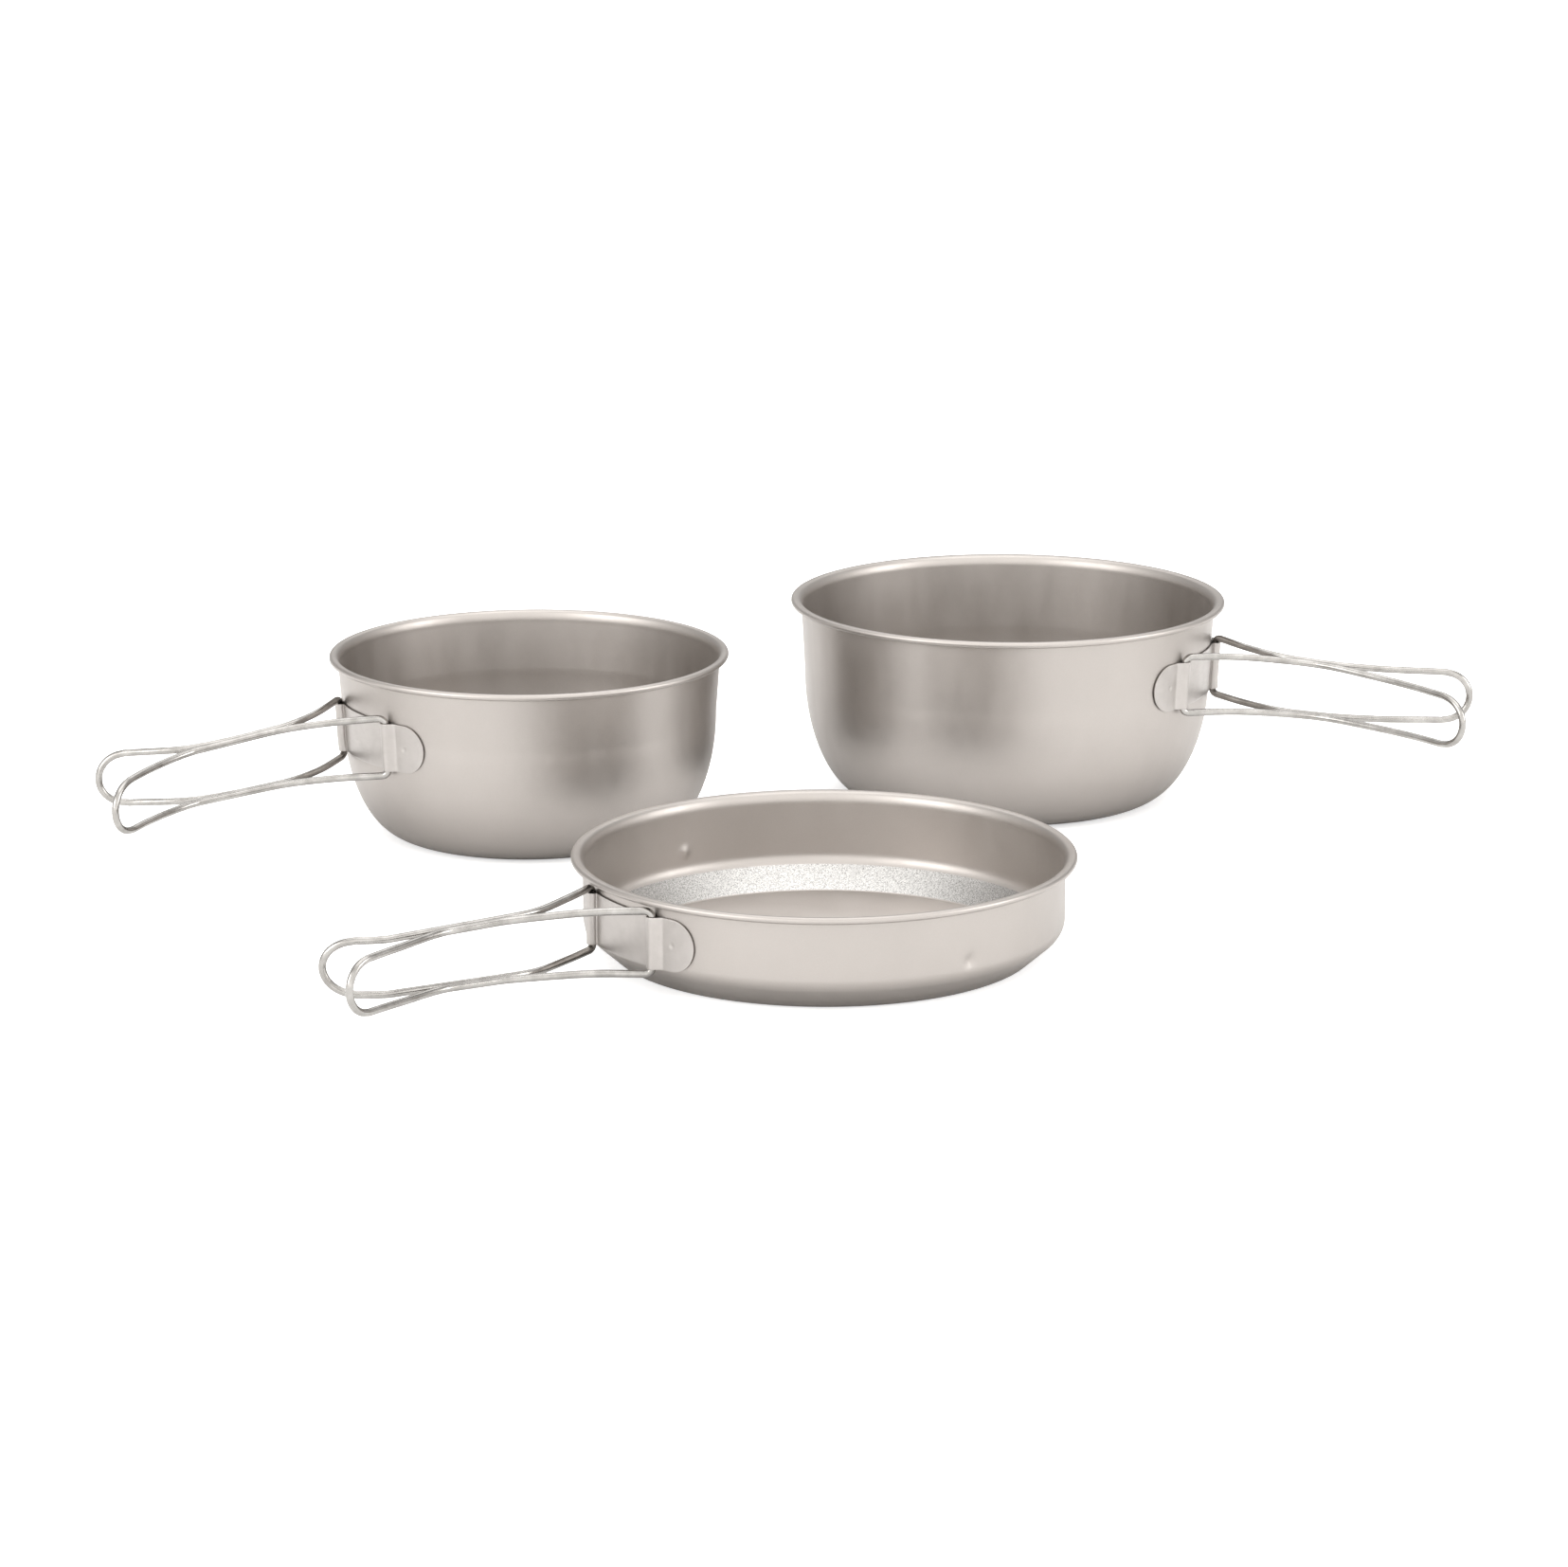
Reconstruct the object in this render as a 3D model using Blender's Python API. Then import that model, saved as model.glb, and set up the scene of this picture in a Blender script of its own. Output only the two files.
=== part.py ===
"""Camping cookware set: a large pot, a small pot and a frying pan of thin titanium.

Every vessel carries a sheet strap with two rolled sleeves, and each sleeve holds one folding
wire handle. Metres, +Z up. The origin is the centre of the large pot's base, on the surface that
the set stands on. The handles are open, as in use.
"""
import bpy
import bmesh
import numpy as np
from math import asin, atan, cos, degrees, pi, radians, sin, sqrt, tan
from mathutils import Matrix, Vector

# Sheet, rim and wire, the same on all three vessels
SHEET = 0.00045            # wall thickness
BEAD_RADIUS = 0.00118      # rolled rim
LIP_HEIGHT = 0.003         # from the start of the flared lip to the bead's centre
WIRE_RADIUS = 0.0013
WIRE_STANDOFF = 0.0016     # wall's outside to the wire's axis
SLEEVE_CLEARANCE = 0.00025
SEGMENTS = 64              # round the vessels

# Strap: a band with half-round ends, two sleeves and a flat middle
STRAP_HEIGHT = 0.0177
STRAP_HALF_LENGTH = 0.0345
STRAP_SHEET = 0.00045
STRAP_GAP = 0.0003
SLEEVE_SPACING = 0.0183     # from the strap's middle to a sleeve's axis, straight across
SLEEVE_FOOT = 0.003        # from a sleeve's axis to where it leaves the wall on the panel side
SLEEVE_SLOPE = ((0.83, 0.00084), (0.97, 0.0004), (1.27, 0.0))   # slope down to the tab: share, rise

# Handles: offsets from the handle's middle plane are given at these distances from the hinge
BEND_AT = (0.0, 0.016, 0.032, 0.048, 0.068, 0.090, 0.112)
WIRE_SPACING = 0.0216      # height between a loop's two wires at the hinge
WIRE_TAPER = 1.7           # share of that height lost per metre along the handle
HINGE_BEND = 0.0026        # bend between the hinge pin and the grip wire
PIN_END = 0.002            # half the gap between a loop's two pin ends, inside the sleeve
LEAST_OFFSET = 0.0015      # where the two loops lean on each other

TITANIUM = ("titanium", (0.56, 0.54, 0.52, 1.0), 0.42)
STRAP_METAL = ("strap_titanium", (0.66, 0.64, 0.62, 1.0), 0.38)
STEEL = ("steel_wire", (0.70, 0.69, 0.67, 1.0), 0.22)

LARGE_POT = {
    "place": (0.0, 0.0), "azimuth": -22.3,
    "bead_height": 0.0749, "bead_circle": 0.0809,
    "wall_top": 0.0781, "wall_foot": 0.0768, "corner_height": 0.0479, "base_radius": 0.0517,
    "strap_height": 0.0522,
    "left": {"reach": 0.0992, "droop": 2.2,
             "offsets": (0.0183, 0.0085, 0.0023, 0.0016, 0.0057, 0.0152, 0.0229)},
    "right": {"reach": 0.1085, "droop": 2.2,
              "offsets": (0.0183, 0.0076, 0.0029, 0.0016, 0.0069, 0.0158, 0.0285)},
}
SMALL_POT = {
    "place": (-0.17885, -0.05343), "azimuth": -149.1,
    "bead_height": 0.0658, "bead_circle": 0.0725,
    "wall_top": 0.0704, "wall_foot": 0.06905, "corner_height": 0.0444, "base_radius": 0.0471,
    "strap_height": 0.0427,
    "left": {"reach": 0.1086, "droop": 5.2,
             "offsets": (0.0183, 0.0084, 0.0025, 0.0015, 0.0015, 0.0102, 0.0251)},
    "right": {"reach": 0.095, "droop": 5.7,
              "offsets": (0.0183, 0.0069, 0.0015, 0.0016, 0.0054, 0.0214, 0.0265)},
}
FRYING_PAN = {
    "place": (-0.07115, -0.21793), "azimuth": -145.6,
    "bead_height": 0.033, "bead_circle": 0.0847,
    "wall_top": 0.0819, "wall_foot": 0.0819, "corner_height": 0.0093, "cone_angle": 41.3,
    "base_bend": 0.003, "edge_reach": 0.003,
    "strap_height": 0.0192,
    "left": {"reach": 0.1133, "droop": -0.9,
             "offsets": (0.0183, 0.0091, 0.0045, 0.0015, 0.0015, 0.0088, 0.0170)},
    "right": {"reach": 0.1064, "droop": -0.9,
              "offsets": (0.0183, 0.0097, 0.0025, 0.0015, 0.0015, 0.0021, 0.0162)},
}
VESSELS = {"large_pot": LARGE_POT, "small_pot": SMALL_POT, "frying_pan": FRYING_PAN}


def clear_scene():
    for thing in list(bpy.data.objects):
        bpy.data.objects.remove(thing, do_unlink=True)


def metal(spec):
    """One Principled metal, shared by the parts that name it."""
    name, colour, roughness = spec
    found = bpy.data.materials.get(name)
    if found:
        return found
    material = bpy.data.materials.new(name)
    material.use_nodes = True
    shader = material.node_tree.nodes["Principled BSDF"]
    shader.inputs["Base Color"].default_value = colour
    shader.inputs["Roughness"].default_value = roughness
    shader.inputs["Metallic"].default_value = 1.0
    return material


def link(name, data, parent, material):
    thing = bpy.data.objects.new(name, data)
    bpy.context.scene.collection.objects.link(thing)
    thing.parent = parent
    data.materials.append(metal(material))
    return thing


# ---- vessel shells -------------------------------------------------------------------------

def corner(vessel):
    """Outside of the bottom corner, from the flat base up to the foot of the wall."""
    wall, height = vessel["wall_foot"], vessel["corner_height"]
    if "cone_angle" in vessel:
        slope, bend = radians(vessel["cone_angle"]), vessel["base_bend"]
        base = wall - height / tan(slope) - bend * tan(slope / 2)
        turns = np.linspace(0, slope, 4)
        low = [(base + bend * sin(a), bend - bend * cos(a)) for a in turns]
        return low + edge_bend(low[-1], (wall, height), vessel["edge_reach"])
    base = vessel["base_radius"]
    turns = np.linspace(0, pi / 2, 9)
    return [(base + (wall - base) * sin(a), height * (1 - cos(a))) for a in turns]


def edge_bend(before, at, reach):
    """Soft bend from the straight line between two points to the upright wall above the second."""
    at = np.array(at)
    back = np.array(before) - at
    first = at + back / np.linalg.norm(back) * reach
    last = at + (0, reach)
    steps = np.linspace(0, 1, 5)
    return [tuple(first * (1 - t)**2 + at * (2 * t * (1 - t)) + last * t**2) for t in steps]


def wall_radius(vessel, height):
    """Outside radius of the wall at a height above the base."""
    foot = vessel["corner_height"]
    if height < foot:
        points = np.array(corner(vessel))
        return float(np.interp(height, points[:, 1], points[:, 0]))
    rise = (height - foot) / (vessel["bead_height"] - LIP_HEIGHT - foot)
    return vessel["wall_foot"] + (vessel["wall_top"] - vessel["wall_foot"]) * rise


def offset_line(points, distance):
    """A line beside another one, to its left, with mitred corners."""
    points = np.array(points)
    along = np.diff(points, axis=0)
    along /= np.linalg.norm(along, axis=1)[:, None]
    left = np.stack([-along[:, 1], along[:, 0]], axis=1)
    first, last = np.vstack([left[:1], left]), np.vstack([left, left[-1:]])
    mitre = (first + last) / (1 + (first * last).sum(axis=1))[:, None]
    return [tuple(p) for p in points + mitre * distance]


def shell_profile(vessel):
    """Closed section of a vessel: up the inside, over the lip and bead, and down the outside."""
    bead_x, bead_z = vessel["bead_circle"], vessel["bead_height"]
    lip_z = bead_z - LIP_HEIGHT
    outside = [(0.0, 0.0)] + corner(vessel) + [(vessel["wall_top"], lip_z)]
    inside = offset_line(outside, SHEET)
    inner_x = vessel["wall_top"] - SHEET
    rise = LIP_HEIGHT + BEAD_RADIUS

    def lip(a):
        return inner_x + (bead_x - inner_x) * (1 - cos(a)), lip_z + rise * sin(a)

    over = [lip(a) for a in np.radians([30, 55, 90])]
    bead = [(bead_x + BEAD_RADIUS * cos(a), bead_z + BEAD_RADIUS * sin(a))
            for a in np.radians([50, 10, -30, -70, -110, -150])]
    under = offset_line([lip(radians(15)), lip(radians(30)), lip(radians(45))], -SHEET)[1]
    return inside + over + bead + [under] + outside[::-1]


def turned_shell(name, vessel, parent):
    mesh = bpy.data.meshes.new(name)
    shape = bmesh.new()
    ring = [shape.verts.new((x, 0.0, z)) for x, z in shell_profile(vessel)]
    edges = [shape.edges.new(pair) for pair in zip(ring, ring[1:])]
    bmesh.ops.spin(shape, geom=ring + edges, cent=(0, 0, 0), axis=(0, 0, 1), angle=2 * pi,
                   steps=SEGMENTS, use_merge=True)
    bmesh.ops.remove_doubles(shape, verts=shape.verts, dist=1e-6)
    bmesh.ops.recalc_face_normals(shape, faces=shape.faces)
    shape.to_mesh(mesh)
    shape.free()
    mesh.shade_smooth()
    mesh.set_sharp_from_angle(angle=radians(35))
    return link(name, mesh, parent, TITANIUM)


# ---- straps --------------------------------------------------------------------------------

def sleeve_angle(vessel):
    """Azimuth of a sleeve's axis from the middle of the strap."""
    return asin(SLEEVE_SPACING / (wall_radius(vessel, vessel["strap_height"]) + WIRE_STANDOFF))


def strap_columns(vessel):
    """Columns of one half of the strap: distance along it, height off the wall, half height."""
    middle = sleeve_angle(vessel) * wall_radius(vessel, vessel["strap_height"])
    inner = WIRE_RADIUS + SLEEVE_CLEARANCE
    axis = WIRE_STANDOFF - STRAP_GAP
    half = STRAP_HEIGHT / 2
    columns = [(x, 0.0, half) for x in np.linspace(0, middle - SLEEVE_FOOT, 5)]
    columns.append((middle - 0.7 * SLEEVE_FOOT, 0.0002, half))
    for a in np.radians(np.linspace(195, 42, 7)):
        columns.append((middle + inner * cos(a), axis + inner * sin(a), half))
    for share, off in SLEEVE_SLOPE:
        columns.append((middle + share * SLEEVE_FOOT, off, half))
    for a in np.radians([0, 20, 40, 58, 74, 86]):
        columns.append((STRAP_HALF_LENGTH - half + half * sin(a), 0.0, half * cos(a)))
    return columns


def bent_strap(name, vessel, parent):
    half = strap_columns(vessel)
    columns = [(-x, off, tall) for x, off, tall in half[:0:-1]] + half
    mesh = bpy.data.meshes.new(name)
    shape = bmesh.new()
    rows = []
    for x, off, tall in columns:
        turn = x / wall_radius(vessel, vessel["strap_height"])
        column = []
        for height in (vessel["strap_height"] - tall, vessel["strap_height"] + tall):
            radius = wall_radius(vessel, height) + STRAP_GAP + off
            column.append(shape.verts.new((radius * cos(turn), radius * sin(turn), height)))
        rows.append(column)
    for (low, high), (next_low, next_high) in zip(rows, rows[1:]):
        shape.faces.new((low, next_low, next_high, high))
    shape.to_mesh(mesh)
    shape.free()
    mesh.shade_smooth()
    strap = link(name, mesh, parent, STRAP_METAL)
    solid = strap.modifiers.new("sheet", "SOLIDIFY")
    solid.thickness = STRAP_SHEET
    solid.offset = 1.0
    solid.use_even_offset = True
    return strap


# ---- wire handles --------------------------------------------------------------------------

def hinge(vessel, side):
    """A sleeve's axis in the vessel's frame: a point on it and its direction, along the wall."""
    height, angle = vessel["strap_height"], side * sleeve_angle(vessel)
    radius = wall_radius(vessel, height) + WIRE_STANDOFF
    half = STRAP_HEIGHT / 2
    widening = wall_radius(vessel, height + half) - wall_radius(vessel, height - half)
    lean = atan(widening / STRAP_HEIGHT)
    outward = Vector((cos(angle), sin(angle), 0))
    return outward * radius + Vector((0, 0, height)), outward * sin(lean) + Vector((0, 0, cos(lean)))


def offset_at(offsets, distance):
    """Smooth curve through the offsets, held back where the two loops meet."""
    at, values = np.array(BEND_AT), np.array(offsets)
    slopes = np.gradient(values, at)
    i = min(int(np.searchsorted(at, distance, side="right")) - 1, len(at) - 2)
    span = at[i + 1] - at[i]
    t = (distance - at[i]) / span
    value = ((2 * t**3 - 3 * t**2 + 1) * values[i] + (t**3 - 2 * t**2 + t) * span * slopes[i]
             + (3 * t**2 - 2 * t**3) * values[i + 1] + (t**3 - t**2) * span * slopes[i + 1])
    return max(value, LEAST_OFFSET)


def wire_route(vessel, side):
    """Centre line of one handle, from pin end to pin end, in the vessel's frame."""
    grip = vessel["left" if side > 0 else "right"]
    centre, axis = hinge(vessel, side)
    droop = radians(grip["droop"])
    outward = Vector((cos(droop), 0, -sin(droop)))
    half = WIRE_SPACING / 2
    end = half * (1 - WIRE_TAPER * grip["reach"])

    def point(distance, rise):
        aside = side * (offset_at(grip["offsets"], distance) - grip["offsets"][0])
        return centre + axis * rise + outward * distance + Vector((0, aside, 0))

    straight = np.linspace(HINGE_BEND, grip["reach"] - end, 13)
    upper = [point(d, half * (1 - WIRE_TAPER * d)) for d in straight]
    turn = [point(grip["reach"] - end + end * sin(a), end * cos(a))
            for a in np.linspace(0, pi, 8)[1:-1]]
    lower = [point(d, -half * (1 - WIRE_TAPER * d)) for d in straight[::-1]]
    return (pin(centre, axis, half, upper) + upper + turn + lower
            + pin(centre, -axis, half, lower[::-1])[::-1])


def pin(centre, axis, half, wire):
    """Pin end inside the sleeve, and the round bend from the pin to the first of the wire."""
    corner_point = centre + axis * half
    start = corner_point - axis * HINGE_BEND
    leave = wire[0]
    steps = (0.0, 0.25, 0.5, 0.75)
    bend = [start * (1 - t)**2 + corner_point * (2 * t * (1 - t)) + leave * t**2 for t in steps]
    return [centre + axis * PIN_END] + bend


def wire_handle(name, vessel, side, parent):
    """A loop of wire whose own Z axis is its hinge axis."""
    centre, axis = hinge(vessel, side)
    frame = Matrix.Translation(centre) @ Vector((0, 0, 1)).rotation_difference(axis).to_matrix().to_4x4()
    curve = bpy.data.curves.new(name, "CURVE")
    curve.dimensions = "3D"
    curve.bevel_depth = WIRE_RADIUS
    curve.bevel_resolution = 2
    curve.use_fill_caps = True
    route = [frame.inverted() @ point for point in wire_route(vessel, side)]
    spline = curve.splines.new("POLY")
    spline.points.add(len(route) - 1)
    for knot, point in zip(spline.points, route):
        knot.co = (*point, 1.0)
    handle = link(name, curve, parent, STEEL)
    handle.matrix_local = frame
    return handle


def main():
    clear_scene()
    for name, vessel in VESSELS.items():
        stand = bpy.data.objects.new(name, None)
        bpy.context.scene.collection.objects.link(stand)
        stand.location = (*vessel["place"], 0)
        stand.rotation_euler = (0, 0, radians(vessel["azimuth"]))
        turned_shell(name + "_shell", vessel, stand)
        bent_strap(name + "_handle_strap", vessel, stand)
        wire_handle(name + "_left_handle", vessel, 1, stand)
        wire_handle(name + "_right_handle", vessel, -1, stand)


main()
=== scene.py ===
"""Looks of the camping cookware set: fine shells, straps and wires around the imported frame."""
import bpy
import numpy as np
from math import asin, atan, cos, pi, radians, sin, tan
from mathutils import Matrix, Vector


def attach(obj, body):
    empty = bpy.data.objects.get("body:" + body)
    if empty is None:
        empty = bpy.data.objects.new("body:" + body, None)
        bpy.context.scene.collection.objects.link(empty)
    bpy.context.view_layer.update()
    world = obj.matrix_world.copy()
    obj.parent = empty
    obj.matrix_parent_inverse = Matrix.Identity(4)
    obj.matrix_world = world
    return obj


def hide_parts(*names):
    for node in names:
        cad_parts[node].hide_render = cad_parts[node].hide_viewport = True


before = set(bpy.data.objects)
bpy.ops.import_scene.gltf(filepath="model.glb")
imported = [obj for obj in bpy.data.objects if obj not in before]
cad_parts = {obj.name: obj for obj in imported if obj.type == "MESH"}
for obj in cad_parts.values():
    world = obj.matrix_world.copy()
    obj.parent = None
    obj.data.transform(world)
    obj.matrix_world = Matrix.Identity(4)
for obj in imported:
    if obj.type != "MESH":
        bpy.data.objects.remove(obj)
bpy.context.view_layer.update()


# Shells, the same on all three vessels. Lengths are in metres, and most are the CAD's.
SHEET = 0.00045
BEAD_RADIUS = 0.00118      # rolled rim
LIP_HEIGHT = 0.003         # the wall starts to turn outwards this far below the bead's middle
LIP_FLARE = 0.4            # share of the lip's reach that is a gentle flare, the rest a crisp turn
WALL_STEP = 0.0008         # between two rows of points up the wall
TURNS = 360                # segments round a shell
DIMPLE_DEPTH = 0.0007
DIMPLE_RADIUS = 0.0022
DIMPLE_SPAN = 0.045        # closer columns of points reach this far to each side, in radians
DIMPLE_CLEAR = 0.05        # and the others stay this far away

# Straps
STRAP_HEIGHT = 0.0177
STRAP_HALF_LENGTH = 0.0345
STRAP_SHEET = 0.00045
STRAP_GAP = 0.0003         # from the wall
STRAP_ROWS = 33
STRAP_EDGE = 0.0001        # rounding of the cut edges
SLEEVE_SPACING = 0.0183    # from the strap's middle to a sleeve's axis
SLEEVE_CLEARANCE = 0.00025
SLEEVE_FOOT = 0.003        # from a sleeve's axis to where it leaves the wall on the panel side
SLEEVE_END = 0.0042        # from a sleeve's axis to where its slope meets the tab
SLEEVE_LEAVES = 42         # degrees round the axis, from the tab side, to where the slope starts
FOOT_RUN = 0.0014          # soft foot on the panel side: length and rise
FOOT_RISE = 0.0005
# Pressed marks: distance along the strap, height from its middle, radius, push (minus is inwards)
WELDS = ((0.0258, 0.0, 0.0011, -0.0003), (-0.0258, 0.0, 0.0011, -0.0003))
PIPS = ((0.0105, -0.0012, 0.0004, -0.00015), (-0.0105, 0.0028, 0.0004, -0.00015))
WELD_RING = 0.00006        # height of the raised ring round a weld
WELD_RING_WIDTH = 0.7      # its width as a share of the weld's radius

# Wire handles
WIRE_RADIUS = 0.0013
WIRE_STANDOFF = 0.0016     # from the wall to the middle of the wire in its sleeve
WIRE_SPACING = 0.0216      # between the upper and lower wire at the hinge
WIRE_TAPER = 1.7           # share of that spacing lost per metre of reach
HINGE_BEND = 0.0026        # run of the bend along the pin, and along the wire
PIN_END = 0.002            # from the strap's middle height to the end of a pin
LEAST_OFFSET = 0.0015      # keeps the two wires of a vessel apart where they meet
BEND_AT = (0.0, 0.016, 0.032, 0.048, 0.068, 0.090, 0.112)   # reach of each offset below

# Angles are in degrees. Azimuth is that of the strap's middle, droop is below level, and the
# offsets lead from the plane between the two handles to the middle of the wire.
LARGE_POT = {
    "place": (0.0, 0.0), "azimuth": -22.3,
    "bead_height": 0.0749, "bead_circle": 0.0809,
    "wall_top": 0.0781, "wall_foot": 0.0768, "corner_height": 0.0479, "base_radius": 0.0517,
    "strap_height": 0.0522,
    "left": {"reach": 0.0992, "droop": 2.2,
             "offsets": (0.0183, 0.0085, 0.0023, 0.0016, 0.0057, 0.0152, 0.0229)},
    "right": {"reach": 0.1085, "droop": 2.2,
              "offsets": (0.0183, 0.0076, 0.0029, 0.0016, 0.0069, 0.0158, 0.0285)},
    "dimples": (),
}
SMALL_POT = {
    "place": (-0.17885, -0.05343), "azimuth": -149.1,
    "bead_height": 0.0658, "bead_circle": 0.0725,
    "wall_top": 0.0704, "wall_foot": 0.06905, "corner_height": 0.0444, "base_radius": 0.0471,
    "strap_height": 0.0427,
    "left": {"reach": 0.1086, "droop": 5.2,
             "offsets": (0.0183, 0.0084, 0.0025, 0.0015, 0.0015, 0.0102, 0.0251)},
    "right": {"reach": 0.095, "droop": 5.7,
              "offsets": (0.0183, 0.0069, 0.0015, 0.0016, 0.0054, 0.0214, 0.0265)},
    "dimples": (),
}
FRYING_PAN = {
    "place": (-0.07115, -0.21793), "azimuth": -145.6,
    "bead_height": 0.033, "bead_circle": 0.0847,
    "wall_top": 0.0819, "wall_foot": 0.0819, "corner_height": 0.0093, "cone_angle": 41.3,
    "base_bend": 0.003, "edge_reach": 0.003,
    "strap_height": 0.0192,
    "left": {"reach": 0.1133, "droop": -0.9,
             "offsets": (0.0183, 0.0091, 0.0045, 0.0015, 0.0015, 0.0088, 0.0170)},
    "right": {"reach": 0.1064, "droop": -0.9,
              "offsets": (0.0183, 0.0097, 0.0025, 0.0015, 0.0015, 0.0021, 0.0162)},
    "dimples": ((90.9, 0.0146), (-87.6, 0.0161)),   # azimuth from the strap's middle, height
}
VESSELS = {"large_pot": LARGE_POT, "small_pot": SMALL_POT, "frying_pan": FRYING_PAN}
PAN_BAND_INDEX = 1         # places of the pan's extra materials on its shell
PAN_FLOOR_INDEX = 2

# Studio
FLOOR_REACH = 12.0
FLOOR_GAP = 0.0002         # keeps the floor just below the bases
SET_MIDDLE = (-0.08, -0.08, 0.03)

# Colours, dull and bright, linear
SHEET_METAL = ((0.375, 0.347, 0.325), (0.45, 0.42, 0.396))
# The pan's floor: the sheet's colours made lighter, as painted light from above, on a rougher
# finish.
PAN_FLOOR_LIT_METAL = ((0.46, 0.43, 0.404), (0.60, 0.565, 0.538))
# The pan's sloping band: speckled by its coarse grit, and darker overall as painted shade.
SHADED_BAND_METAL = ((0.18, 0.175, 0.168), (0.52, 0.51, 0.495))
STRAP_METAL = ((0.43, 0.405, 0.386), (0.465, 0.44, 0.42))
WIRE_METAL = ((0.29, 0.278, 0.262), (0.44, 0.426, 0.408))


# ---- node materials ------------------------------------------------------------------------

class Nodes:
    """Short way to add and join shader nodes in one material."""

    def __init__(self, name):
        self.material = bpy.data.materials.new(name)
        self.material.use_nodes = True
        self.tree = self.material.node_tree
        self.shader = self.tree.nodes["Principled BSDF"]
        self.where = self.add("ShaderNodeTexCoord").outputs["Object"]

    def add(self, kind, settings=None, **inputs):
        node = self.tree.nodes.new(kind)
        for key, value in (settings or {}).items():
            setattr(node, key, value)
        for key, value in inputs.items():
            self.feed(node.inputs[key.replace("_", " ")], value)
        return node

    def feed(self, socket, value):
        if isinstance(value, bpy.types.NodeSocket):
            self.tree.links.new(value, socket)
        else:
            socket.default_value = value

    def stretched(self, scale):
        mapping = self.add("ShaderNodeMapping", Vector=self.where)
        mapping.inputs["Scale"].default_value = scale
        return mapping.outputs["Vector"]

    def noise(self, scale, detail=2.0, rough=0.5, where=None):
        node = self.add("ShaderNodeTexNoise", Vector=where or self.where, Scale=scale,
                        Detail=detail, Roughness=rough)
        return node.outputs["Fac"]

    def ramp(self, value, low, high, start=0.3, end=0.7):
        """Spread a noise value between two numbers."""
        node = self.add("ShaderNodeMapRange", Value=value, From_Min=start, From_Max=end,
                        To_Min=low, To_Max=high)
        return node.outputs["Result"]

    def blend(self, value, first, second):
        node = self.tree.nodes.new("ShaderNodeMix")
        node.data_type = "RGBA"
        self.feed(node.inputs[0], value)
        self.feed(node.inputs[6], (*first, 1.0))
        self.feed(node.inputs[7], (*second, 1.0))
        return node.outputs[2]

    def product(self, first, second):
        node = self.tree.nodes.new("ShaderNodeMath")
        node.operation = "MULTIPLY"
        self.feed(node.inputs[0], first)
        self.feed(node.inputs[1], second)
        return node.outputs[0]

    def bump(self, height, depth, strength=1.0, below=None):
        node = self.add("ShaderNodeBump", Height=height, Distance=depth, Strength=strength)
        if below is not None:
            self.feed(node.inputs["Normal"], below)
        return node.outputs["Normal"]


def blasted_titanium(name, colours, rough):
    """Bead-blasted sheet: a fine even grain, a faint mottle, and smears that dull it in places."""
    n = Nodes(name)
    mottle = n.noise(38.0, 4.0, 0.6)
    grit = n.noise(3000.0, 3.0, 0.7)
    smear = n.noise(90.0, 3.0, 0.55, n.stretched((1.0, 1.0, 0.25)))
    shade = n.product(n.ramp(mottle, 0.75, 1.0), n.ramp(grit, 0.62, 1.0))
    n.feed(n.shader.inputs["Base Color"], n.blend(shade, *colours))
    n.feed(n.shader.inputs["Roughness"], n.ramp(smear, rough - 0.03, rough + 0.05))
    n.feed(n.shader.inputs["Normal"], n.bump(grit, 0.000012, 1.0, n.bump(mottle, 0.00006, 0.5)))
    n.shader.inputs["Metallic"].default_value = 1.0
    return n.material


def coarse_shaded_band():
    """The pan's sloping band, blasted coarser, so that it glitters, and darker overall than the
    walls as painted shade.
    """
    n = Nodes("coarse_blasted_shaded_titanium")
    facets = n.noise(1900.0, 4.0, 0.75)
    patches = n.noise(60.0, 2.0, 0.5)
    shade = n.ramp(facets, 0.0, 1.0, 0.32, 0.56)
    n.feed(n.shader.inputs["Base Color"], n.blend(shade, *SHADED_BAND_METAL))
    n.feed(n.shader.inputs["Roughness"], n.ramp(patches, 0.22, 0.28))
    n.feed(n.shader.inputs["Normal"], n.bump(facets, 0.00009, 1.0))
    n.shader.inputs["Metallic"].default_value = 1.0
    return n.material


def rolled_strap():
    """Satin sheet with faint rolling lines along it and small stains spread over it."""
    n = Nodes("rolled_titanium_strap")
    lines = n.noise(900.0, 3.0, 0.6, n.stretched((0.2, 0.2, 2.0)))
    stain = n.noise(240.0, 3.0, 0.6)
    n.feed(n.shader.inputs["Base Color"], n.blend(n.ramp(stain, 0.0, 1.0), *STRAP_METAL))
    n.feed(n.shader.inputs["Roughness"], n.ramp(lines, 0.34, 0.43))
    n.feed(n.shader.inputs["Normal"], n.bump(lines, 0.00001, 1.0))
    n.shader.inputs["Metallic"].default_value = 1.0
    return n.material


def drawn_wire():
    """Bright stainless wire with long faint drawing marks and a few dull patches."""
    n = Nodes("drawn_steel_wire")
    marks = n.noise(700.0, 3.0, 0.6, n.stretched((0.15, 0.15, 2.5)))
    dull = n.noise(160.0, 3.0, 0.6)
    n.feed(n.shader.inputs["Base Color"], n.blend(n.ramp(dull, 0.0, 1.0), *WIRE_METAL))
    n.feed(n.shader.inputs["Roughness"], n.ramp(marks, 0.15, 0.25))
    n.feed(n.shader.inputs["Normal"], n.bump(marks, 0.000012, 1.0))
    n.shader.inputs["Metallic"].default_value = 1.0
    return n.material


# ---- vessel shells -------------------------------------------------------------------------

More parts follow.
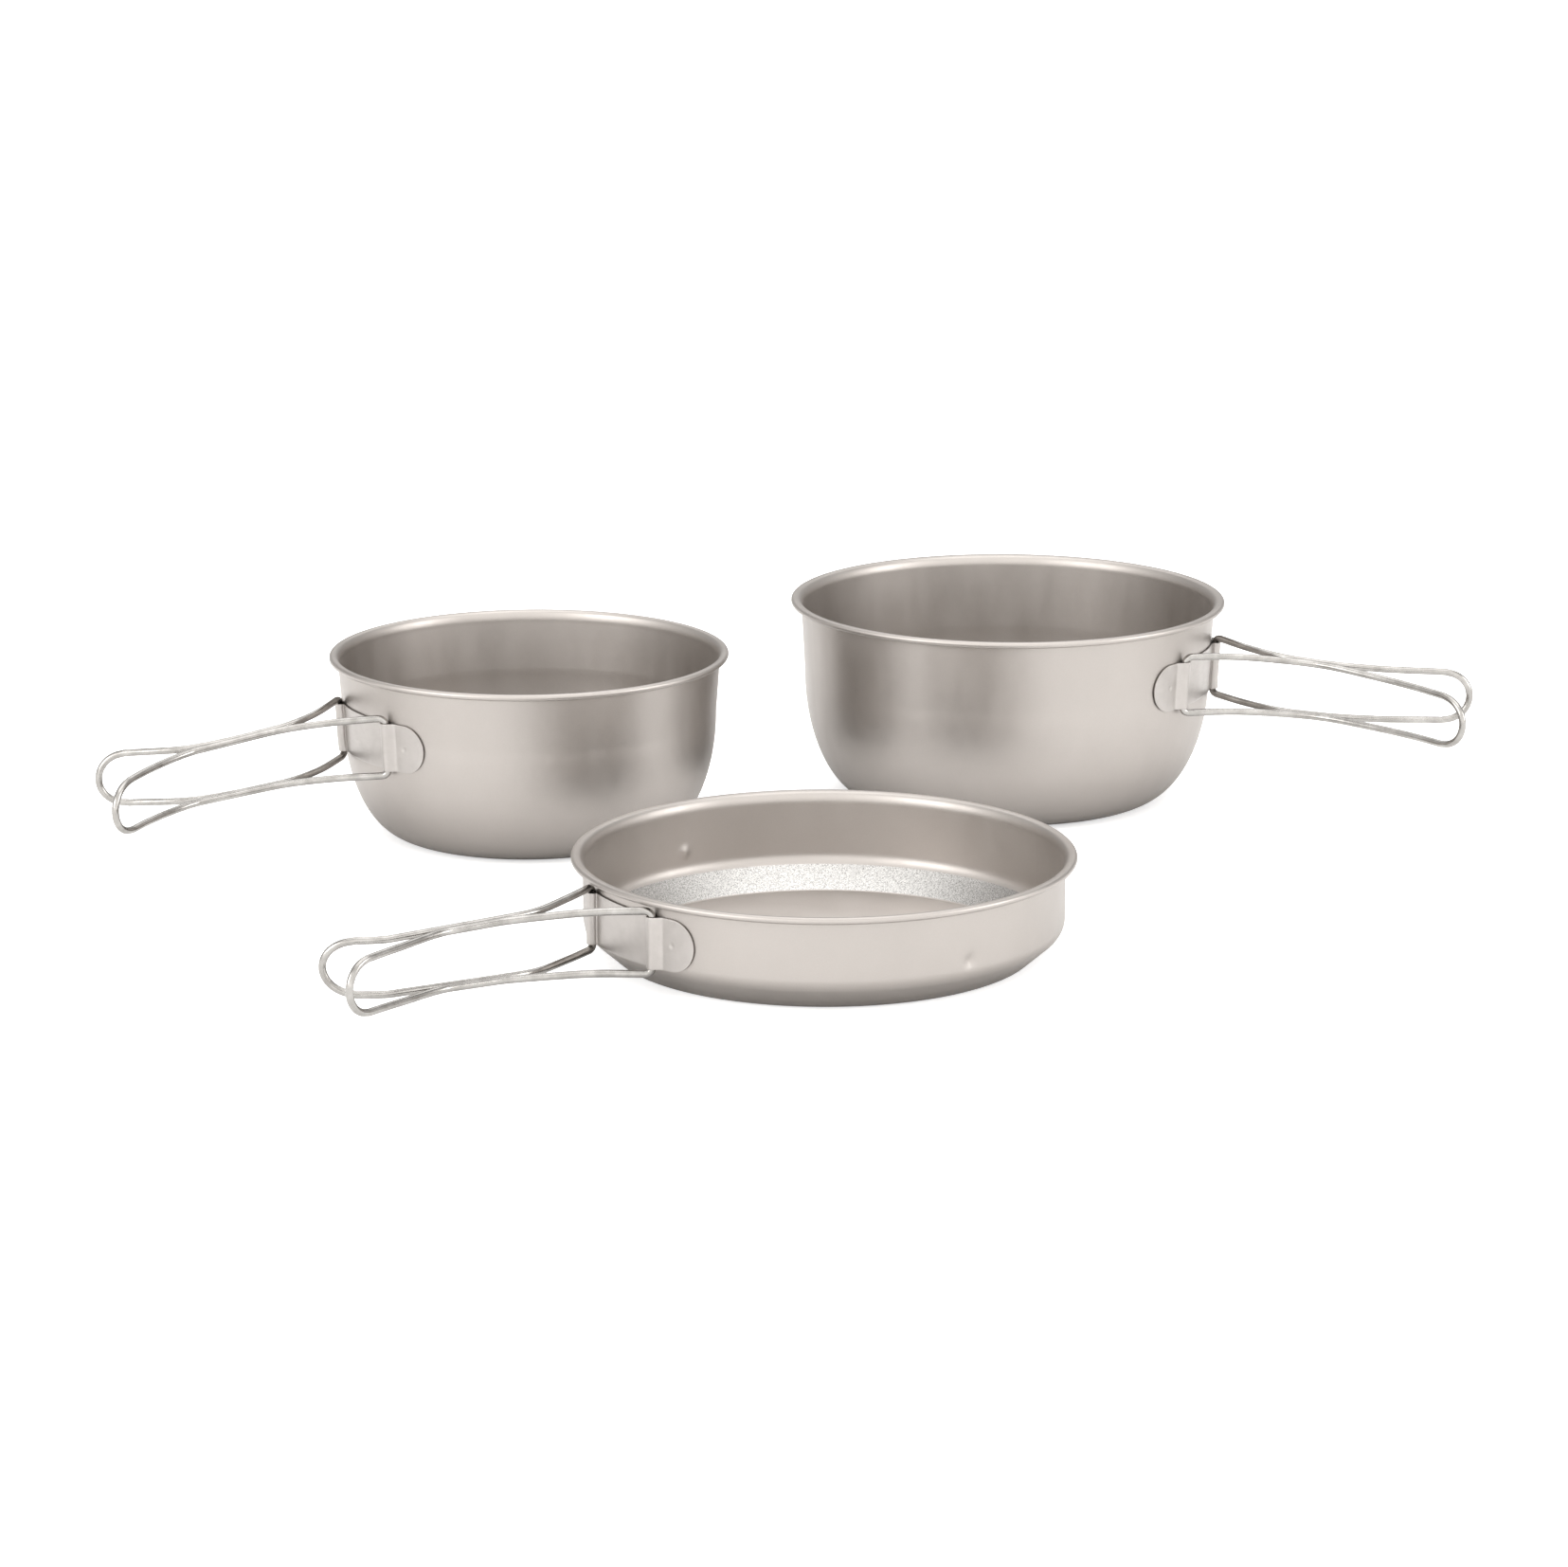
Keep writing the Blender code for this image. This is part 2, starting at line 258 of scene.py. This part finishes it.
def corner(vessel):
    """Outside of the bottom corner, from the flat base up to the foot of the wall."""
    wall, height = vessel["wall_foot"], vessel["corner_height"]
    if "cone_angle" in vessel:
        slope, bend = radians(vessel["cone_angle"]), vessel["base_bend"]
        base = wall - height / tan(slope) - bend * tan(slope / 2)
        turns = np.linspace(0, slope, 9)
        low = [(base + bend * sin(a), bend - bend * cos(a)) for a in turns]
        return low + edge_bend(low[-1], (wall, height), vessel["edge_reach"])
    base = vessel["base_radius"]
    turns = np.linspace(0, pi / 2, 40)
    return [(base + (wall - base) * sin(a), height * (1 - cos(a))) for a in turns]


def edge_bend(before, at, reach):
    """Soft bend from the straight line between two points to the upright wall above the second."""
    before, at = np.array(before), np.array(at)
    first = at + (before - at) / np.linalg.norm(before - at) * reach
    last = at + (0, reach)
    cone = [before + (first - before) * t for t in (0.25, 0.5, 0.75)]
    steps = np.linspace(0, 1, 17)
    bend = [first * (1 - t)**2 + at * (2 * t * (1 - t)) + last * t**2 for t in steps]
    return [tuple(point) for point in cone + bend]


def wall_radius(vessel, height):
    """Outside radius of the wall at a height above the base."""
    foot = vessel["corner_height"]
    if height < foot:
        points = np.array(corner(vessel))
        return float(np.interp(height, points[:, 1], points[:, 0]))
    rise = (height - foot) / (vessel["bead_height"] - LIP_HEIGHT - foot)
    return vessel["wall_foot"] + (vessel["wall_top"] - vessel["wall_foot"]) * rise


def offset_line(points, distance):
    """A line beside another one, to its left, with mitred corners."""
    points = np.array(points)
    along = np.diff(points, axis=0)
    along /= np.linalg.norm(along, axis=1)[:, None]
    left = np.stack([-along[:, 1], along[:, 0]], axis=1)
    first, last = np.vstack([left[:1], left]), np.vstack([left, left[-1:]])
    mitre = (first + last) / (1 + (first * last).sum(axis=1))[:, None]
    return [tuple(p) for p in points + mitre * distance]


def shell_profile(vessel):
    """Section of a vessel, from the middle of its floor over the rim to the middle of its base."""
    bead_x, bead_z = vessel["bead_circle"], vessel["bead_height"]
    lip_z = bead_z - LIP_HEIGHT
    low = corner(vessel)
    flat = [(low[0][0] * t, 0.0) for t in np.linspace(0, 1, 9)[:-1]]
    heights = np.arange(low[-1][1] + WALL_STEP, lip_z, WALL_STEP)
    wall = [(wall_radius(vessel, z), z) for z in heights]
    outside = flat + low + wall + [(vessel["wall_top"], lip_z)]
    inside = offset_line(outside, SHEET)
    inner_x = vessel["wall_top"] - SHEET
    rise = LIP_HEIGHT + BEAD_RADIUS

    def lip(a):
        flare = LIP_FLARE * sin(a)**2 + (1 - LIP_FLARE) * (1 - cos(a))**3
        return inner_x + (bead_x - inner_x) * flare, lip_z + rise * sin(a)

    over = [lip(a) for a in np.radians(np.linspace(8, 90, 16))]
    bead = [(bead_x + BEAD_RADIUS * cos(a), bead_z + BEAD_RADIUS * sin(a))
            for a in np.radians(np.linspace(78, -165, 20))]
    under = offset_line([lip(radians(a)) for a in (0, 10, 20, 30, 40)], -SHEET)[1:4][::-1]
    return inside + over + bead + under + outside[::-1]


def turn_from(angles, azimuth):
    """Signed angles from an azimuth in degrees, within half a turn."""
    return (angles - radians(azimuth) + pi) % (2 * pi) - pi


def dimple_push(vessel, angles, heights):
    """How far the wall is pressed inwards at each point of the grid, at the pan's two lid stops."""
    push = np.zeros((len(angles), len(heights)))
    for azimuth, height in vessel["dimples"]:
        across = turn_from(angles, azimuth)[:, None] * vessel["wall_top"]
        distance = np.hypot(across, heights[None, :] - height)
        push += DIMPLE_DEPTH * np.exp(-(distance / DIMPLE_RADIUS)**2)
    return push


def shell_angles(vessel):
    """Angles of the shell's columns of points, set closer together at each dimple."""
    angles = np.linspace(0, 2 * pi, TURNS, endpoint=False)
    for azimuth, _ in vessel["dimples"]:
        close = radians(azimuth) + np.linspace(-DIMPLE_SPAN, DIMPLE_SPAN, 25)
        far = np.abs(turn_from(angles, azimuth)) > DIMPLE_CLEAR
        angles = np.append(angles[far], close)
    return np.sort(angles % (2 * pi))


def fine_shell(name, vessel, matrix, materials):
    """Turned shell: the section swept round, closed by a fan at the middle of floor and base."""
    profile = np.array(shell_profile(vessel))
    angles = shell_angles(vessel)
    body = profile[1:-1]
    on_wall = (body[:, 0] > vessel["wall_top"] - 0.004) & (body[:, 1] > vessel["corner_height"])
    radius = body[None, :, 0] - dimple_push(vessel, angles, body[:, 1]) * on_wall
    x, y = radius * np.cos(angles)[:, None], radius * np.sin(angles)[:, None]
    z = np.broadcast_to(body[None, :, 1], x.shape)
    points = np.stack([x, y, z], axis=2).reshape(-1, 3)
    rows, turns = len(body), len(angles)
    a = np.arange(turns)[:, None] * rows + np.arange(rows - 1)[None, :]
    b = ((np.arange(turns) + 1) % turns)[:, None] * rows + np.arange(rows - 1)[None, :]
    faces = np.stack([b, a, a + 1, b + 1], axis=2).reshape(-1, 4).tolist()
    floor_middle, base_middle = len(points), len(points) + 1
    points = np.vstack([points, [[0, 0, profile[0][1]], [0, 0, profile[-1][1]]]])
    for i in range(turns):
        j = (i + 1) % turns
        faces.append([i * rows, j * rows, floor_middle])
        faces.append([j * rows + rows - 1, i * rows + rows - 1, base_middle])
    mesh = bpy.data.meshes.new(name)
    mesh.from_pydata(points.tolist(), [], faces)
    mesh.shade_smooth()
    for material in materials:
        mesh.materials.append(material)
    if len(materials) > 1:
        mark_pan(mesh, vessel)
    return placed(bpy.data.objects.new(name, mesh), matrix)


def mark_pan(mesh, vessel):
    """Give the pan's inner sloping band its coarser finish, darker as painted shade, and its floor
    the duller finish, lighter as painted light.
    """
    slope = radians(vessel["cone_angle"])
    band_top = vessel["corner_height"] + 0.001
    for face in mesh.polygons:
        up = face.normal.z
        inner = face.normal.x * face.center.x + face.normal.y * face.center.y < 0
        if up > 0.99 and face.center.z < 0.002:
            face.material_index = PAN_FLOOR_INDEX
        if inner and abs(up - cos(slope)) < 0.05 and face.center.z < band_top:
            face.material_index = PAN_BAND_INDEX


def placed(thing, matrix):
    """Put a new object in the scene with its place in its own points, as the CAD nodes have it."""
    bpy.context.scene.collection.objects.link(thing)
    thing.data.transform(matrix)
    return thing


def vessel_matrix(vessel):
    """Place of a vessel, turned so that the middle of its strap points along its own +X."""
    turn = Matrix.Rotation(radians(vessel["azimuth"]), 4, "Z")
    return Matrix.Translation((*vessel["place"], 0)) @ turn


# ---- straps --------------------------------------------------------------------------------

def sleeve_angle(vessel):
    """Azimuth of a sleeve's axis from the middle of the strap."""
    return asin(SLEEVE_SPACING / (wall_radius(vessel, vessel["strap_height"]) + WIRE_STANDOFF))


def strap_columns(vessel):
    """Columns of one half of the strap: distance along it, height off the wall, half height."""
    middle = sleeve_angle(vessel) * wall_radius(vessel, vessel["strap_height"])
    inner = WIRE_RADIUS + SLEEVE_CLEARANCE
    axis = WIRE_STANDOFF - STRAP_GAP
    half = STRAP_HEIGHT / 2
    columns = [(x, 0.0, half) for x in np.linspace(0, middle - SLEEVE_FOOT, 28)]
    for t in (0.25, 0.5, 0.75):
        columns.append((middle - SLEEVE_FOOT + t * FOOT_RUN, FOOT_RISE * t**2, half))
    for a in np.radians(np.linspace(200, SLEEVE_LEAVES, 22)):
        columns.append((middle + inner * cos(a), axis + inner * sin(a), half))
    columns += [(middle + x, off, half) for x, off in sleeve_slope(inner, axis)]
    for x in np.linspace(middle + SLEEVE_END, STRAP_HALF_LENGTH - half, 7)[1:-1]:
        columns.append((x, 0.0, half))
    for a in np.radians(np.linspace(0, 88, 28)):
        columns.append((STRAP_HALF_LENGTH - half + half * sin(a), 0.0, half * cos(a)))
    return columns


def sleeve_slope(inner, axis):
    """Slope from the round sleeve down to the tab: distance from the axis, height off the wall."""
    leaves = radians(SLEEVE_LEAVES)
    start, top = inner * cos(leaves), axis + inner * sin(leaves)
    knee = start + top * tan(leaves)
    straight = [(start + t * (knee - start), top * (1 - t)) for t in (0.2, 0.4)]
    low, low_top = start + 0.6 * (knee - start), 0.4 * top
    bend = [(low * (1 - t)**2 + knee * 2 * t * (1 - t) + SLEEVE_END * t**2, low_top * (1 - t)**2)
            for t in np.linspace(0, 1, 8)]
    return straight + bend


def pressed(vessel, x, height):
    """Push of the marks: a ringed weld on each tab, and two small pips on the middle panel."""
    push = 0.0
    for mark in WELDS + PIPS:
        along, up, size, depth = mark
        distance = ((x - along)**2 + (height - vessel["strap_height"] - up)**2)**0.5
        if distance < size:
            push += depth * cos(distance / size * pi / 2)**2
        elif mark in WELDS and distance < size * (1 + WELD_RING_WIDTH):
            push += WELD_RING * sin((distance / size - 1) / WELD_RING_WIDTH * pi)
    return push


def fine_strap(name, vessel, matrix, material):
    """Bent strap: a grid of points on its inner face, thickened outwards."""
    half = strap_columns(vessel)
    columns = [(-x, off, tall) for x, off, tall in half[:0:-1]] + half
    rows = STRAP_ROWS
    points, faces = [], []
    for x, off, tall in columns:
        turn = x / wall_radius(vessel, vessel["strap_height"])
        for height in vessel["strap_height"] + np.linspace(-tall, tall, rows):
            radius = wall_radius(vessel, height) + STRAP_GAP + off + pressed(vessel, x, height)
            points.append((radius * cos(turn), radius * sin(turn), height))
    for i in range(len(columns) - 1):
        for j in range(rows - 1):
            a, b = i * rows + j, (i + 1) * rows + j
            faces.append((a, b, b + 1, a + 1))
    mesh = bpy.data.meshes.new(name)
    mesh.from_pydata(points, [], faces)
    mesh.shade_smooth()
    mesh.materials.append(material)
    strap = placed(bpy.data.objects.new(name, mesh), matrix)
    solid = strap.modifiers.new("sheet", "SOLIDIFY")
    solid.thickness = STRAP_SHEET
    solid.offset = 1.0
    edge = strap.modifiers.new("edge", "BEVEL")
    edge.width = STRAP_EDGE
    edge.segments = 2
    edge.limit_method = "ANGLE"
    edge.angle_limit = radians(60)
    return strap


# ---- wire handles --------------------------------------------------------------------------

def hinge(vessel, side):
    """A sleeve's axis in the vessel's frame: a point on it and its direction, along the wall."""
    height, angle = vessel["strap_height"], side * sleeve_angle(vessel)
    radius = wall_radius(vessel, height) + WIRE_STANDOFF
    half = STRAP_HEIGHT / 2
    widening = wall_radius(vessel, height + half) - wall_radius(vessel, height - half)
    lean = atan(widening / STRAP_HEIGHT)
    outward = Vector((cos(angle), sin(angle), 0))
    centre = outward * radius + Vector((0, 0, height))
    return centre, outward * sin(lean) + Vector((0, 0, cos(lean)))


def offset_at(offsets, distance):
    """Smooth curve through the offsets, held back where the two loops meet."""
    at, values = np.array(BEND_AT), np.array(offsets)
    slopes = np.gradient(values, at)
    i = min(int(np.searchsorted(at, distance, side="right")) - 1, len(at) - 2)
    span = at[i + 1] - at[i]
    t = (distance - at[i]) / span
    value = ((2 * t**3 - 3 * t**2 + 1) * values[i] + (t**3 - 2 * t**2 + t) * span * slopes[i]
             + (3 * t**2 - 2 * t**3) * values[i + 1] + (t**3 - t**2) * span * slopes[i + 1])
    return max(value, LEAST_OFFSET)


def wire_route(vessel, side):
    """Centre line of one handle, from pin end to pin end, in the vessel's frame."""
    grip = vessel["left" if side > 0 else "right"]
    centre, axis = hinge(vessel, side)
    droop = radians(grip["droop"])
    outward = Vector((cos(droop), 0, -sin(droop)))
    half = WIRE_SPACING / 2
    end = half * (1 - WIRE_TAPER * grip["reach"])

    def point(distance, rise):
        aside = side * (offset_at(grip["offsets"], distance) - grip["offsets"][0])
        return centre + axis * rise + outward * distance + Vector((0, aside, 0))

    straight = np.linspace(HINGE_BEND, grip["reach"] - end, 60)
    upper = [point(d, half * (1 - WIRE_TAPER * d)) for d in straight]
    turn = [point(grip["reach"] - end + end * sin(a), end * cos(a))
            for a in np.linspace(0, pi, 26)[1:-1]]
    lower = [point(d, -half * (1 - WIRE_TAPER * d)) for d in straight[::-1]]
    return (pin(centre, axis, half, upper) + upper + turn + lower
            + pin(centre, -axis, half, lower[::-1])[::-1])


def pin(centre, axis, half, wire):
    """Pin end inside the sleeve, and the round bend from the pin to the first of the wire."""
    corner_point = centre + axis * half
    start = corner_point - axis * HINGE_BEND
    leave = wire[0]
    steps = np.linspace(0, 0.9, 10)
    bend = [start * (1 - t)**2 + corner_point * (2 * t * (1 - t)) + leave * t**2 for t in steps]
    return [centre + axis * PIN_END] + bend


def fine_wire(name, vessel, side, matrix, material):
    """One handle: a round wire along its route."""
    curve = bpy.data.curves.new(name, "CURVE")
    curve.dimensions = "3D"
    curve.bevel_depth = WIRE_RADIUS
    curve.bevel_resolution = 6
    curve.use_fill_caps = True
    route = wire_route(vessel, side)
    spline = curve.splines.new("POLY")
    spline.points.add(len(route) - 1)
    spline.use_smooth = True
    for knot, point in zip(spline.points, route):
        knot.co = (*point, 1.0)
    curve.materials.append(material)
    return placed(bpy.data.objects.new(name, curve), matrix)


# ---- studio --------------------------------------------------------------------------------

def studio_floor():
    """White paper. It glows a little for the camera, and its colour is greyer close to what stands
    on it, as painted shade.
    """
    mesh = bpy.data.meshes.new("studio_floor")
    corners = [(-FLOOR_REACH, -FLOOR_REACH, 0), (FLOOR_REACH, -FLOOR_REACH, 0),
               (FLOOR_REACH, FLOOR_REACH, 0), (-FLOOR_REACH, FLOOR_REACH, 0)]
    mesh.from_pydata(corners, [], [(0, 1, 2, 3)])
    material = bpy.data.materials.new("white_paper")
    material.use_nodes = True
    nodes, links = material.node_tree.nodes, material.node_tree.links
    shader = nodes["Principled BSDF"]
    shader.inputs["Roughness"].default_value = 0.9
    shader.inputs["Emission Color"].default_value = (1.0, 1.0, 1.0, 1.0)
    seen = nodes.new("ShaderNodeMath")
    seen.operation = "MULTIPLY"
    seen.inputs[1].default_value = 0.6
    links.new(nodes.new("ShaderNodeLightPath").outputs["Is Camera Ray"], seen.inputs[0])
    links.new(seen.outputs[0], shader.inputs["Emission Strength"])
    # Painted shade: the paper's colour is darkened where the vessels stand close over it.
    shade = nodes.new("ShaderNodeAmbientOcclusion")
    shade.inputs["Distance"].default_value = 0.035
    tone = nodes.new("ShaderNodeMapRange")
    tone.inputs["To Min"].default_value = 0.55
    tone.inputs["To Max"].default_value = 0.92
    links.new(shade.outputs["AO"], tone.inputs["Value"])
    links.new(tone.outputs["Result"], shader.inputs["Base Color"])
    mesh.materials.append(material)
    below = Matrix.Translation((0, 0, -FLOOR_GAP))
    placed(bpy.data.objects.new("studio_floor", mesh), below)


def soft_box(name, place, size, power):
    """Rectangular lamp that faces the middle of the set."""
    light = bpy.data.lights.new(name, "AREA")
    light.shape = "RECTANGLE"
    light.size, light.size_y = size
    light.energy = power
    lamp = bpy.data.objects.new(name, light)
    bpy.context.scene.collection.objects.link(lamp)
    lamp.location = place
    lamp.rotation_euler = (Vector(SET_MIDDLE) - Vector(place)).to_track_quat("-Z", "Y").to_euler()


def studio_light():
    """Four soft boxes in a room that is brighter in front of the set than behind it."""
    world = bpy.data.worlds.new("studio")
    world.use_nodes = True
    nodes, links = world.node_tree.nodes, world.node_tree.links
    way = nodes.new("ShaderNodeSeparateXYZ")
    links.new(nodes.new("ShaderNodeTexCoord").outputs["Generated"], way.inputs[0])
    glow = nodes.new("ShaderNodeMapRange")
    for key, value in (("From Min", -1.0), ("From Max", 0.6), ("To Min", 2.1), ("To Max", 0.6)):
        glow.inputs[key].default_value = value
    links.new(way.outputs["Y"], glow.inputs["Value"])
    links.new(glow.outputs["Result"], nodes["Background"].inputs["Strength"])
    nodes["Background"].inputs["Color"].default_value = (1.0, 0.99, 0.975, 1.0)
    bpy.context.scene.world = world
    soft_box("overhead", (0.0, 0.1, 1.7), (1.8, 1.4), 12.0)
    soft_box("left_front", (-1.5, -1.1, 0.9), (1.2, 1.0), 11.0)
    soft_box("right_side", (1.7, -0.5, 0.7), (0.8, 1.0), 9.5)
    soft_box("back_high", (0.0, 1.5, 1.5), (2.0, 0.9), 7.0)
    bpy.context.scene.view_settings.view_transform = "Standard"


def camera():
    """Long lens from the front, a little above the rims."""
    data = bpy.data.cameras.new("camera")
    data.lens = 115.3
    data.sensor_width = 36.0
    view = bpy.data.objects.new("camera", data)
    bpy.context.scene.collection.objects.link(view)
    view.location = (-0.08475, -1.86419, 0.47084)
    view.rotation_euler = (radians(75.91), 0, 0)
    bpy.context.scene.camera = view


# ---- the set -------------------------------------------------------------------------------

def dress(piece, body, node):
    """Tie a piece to the body that it moves with, and hide the CAD node that it stands for."""
    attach(piece, body)
    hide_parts(node)


def main():
    camera()
    studio_floor()
    studio_light()
    sheet = blasted_titanium("blasted_titanium", SHEET_METAL, 0.40)
    # Painted shade: the band is darker than the sheet, besides its coarse grit.
    band = coarse_shaded_band()
    # Painted light: the pan's floor is a lighter, rougher copy of the sheet.
    lit_pan_floor = blasted_titanium("pan_floor_lit_titanium", PAN_FLOOR_LIT_METAL, 0.50)
    strap_metal = rolled_strap()
    steel = drawn_wire()
    hands = ((1, "left"), (-1, "right"))
    for name, vessel in VESSELS.items():
        matrix = vessel_matrix(vessel)
        metals = [sheet, band, lit_pan_floor] if "cone_angle" in vessel else [sheet]
        shell = fine_shell(name + "_sheet", vessel, matrix, metals)
        dress(shell, name, name + "_shell")
        strap = fine_strap(name + "_strap", vessel, matrix, strap_metal)
        dress(strap, name, name + "_handle_strap")
        for side, hand in hands:
            wire = fine_wire(f"{name}_{hand}_wire", vessel, side, matrix, steel)
            handle = f"{name}_{hand}_handle"
            dress(wire, handle, handle)


main()
